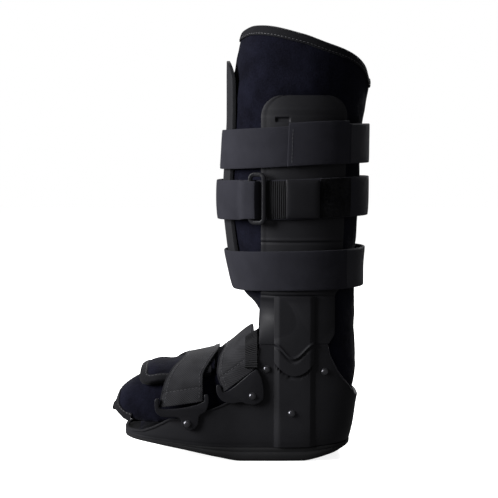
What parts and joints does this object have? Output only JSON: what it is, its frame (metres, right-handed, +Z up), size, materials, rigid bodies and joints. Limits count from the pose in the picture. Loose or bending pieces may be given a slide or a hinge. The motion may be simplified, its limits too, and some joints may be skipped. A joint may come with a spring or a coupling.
{
  "type": "walking boot",
  "caption": "Tall orthopaedic walking boot with a rigid rocker shell, side uprights, padded open-toe liner and wrap-round straps.",
  "frame": {"origin": "on the ground, under the middle of the boot's bounding box", "axes": "+Z up the leg, -X towards the toes, -Y the near side of the picture"},
  "size_m": [0.2653, 0.1334, 0.44],
  "materials": {
    "shell_plastic": "satin moulded plastic",
    "sole_rubber": "matt rubber",
    "liner_fabric": "brushed loop fabric over foam",
    "strap_web": "woven webbing",
    "foot_strap_web": "coarse woven webbing",
    "rough_loop": "rough hook and loop tape",
    "rivet_metal": "domed, shiny",
    "buckle_plastic": "smooth moulded plastic"
  },
  "bodies": {
    "root": {"outsole": "sole_rubber", "shell_base": "shell_plastic", "upright_near": "shell_plastic", "upright_far": "shell_plastic", "front_panel": "shell_plastic", "liner": "liner_fabric", "toe_flap_lower": "liner_fabric", "toe_flap_upper": "liner_fabric", "strap_upper": "strap_web", "strap_middle": "strap_web", "strap_lower": "strap_web", "strap_tab": "rough_loop", "foot_strap_front": "foot_strap_web", "foot_strap_rear": "foot_strap_web", "buckle_ring": "buckle_plastic", "strap_keeper": "buckle_plastic", "bracket_front_near": "buckle_plastic", "bracket_front_far": "buckle_plastic", "bracket_rear_near": "buckle_plastic", "bracket_rear_far": "buckle_plastic", "rivet_ear_front_near": "rivet_metal", "rivet_ear_back_near": "rivet_metal", "rivet_bracket_rear_near": "rivet_metal", "rivet_channel_near": "rivet_metal", "rivet_bracket_front_near": "rivet_metal", "rivet_ear_front_far": "rivet_metal", "rivet_ear_back_far": "rivet_metal", "rivet_bracket_rear_far": "rivet_metal", "rivet_channel_far": "rivet_metal", "rivet_bracket_front_far": "rivet_metal"}
  },
  "joints": []
}
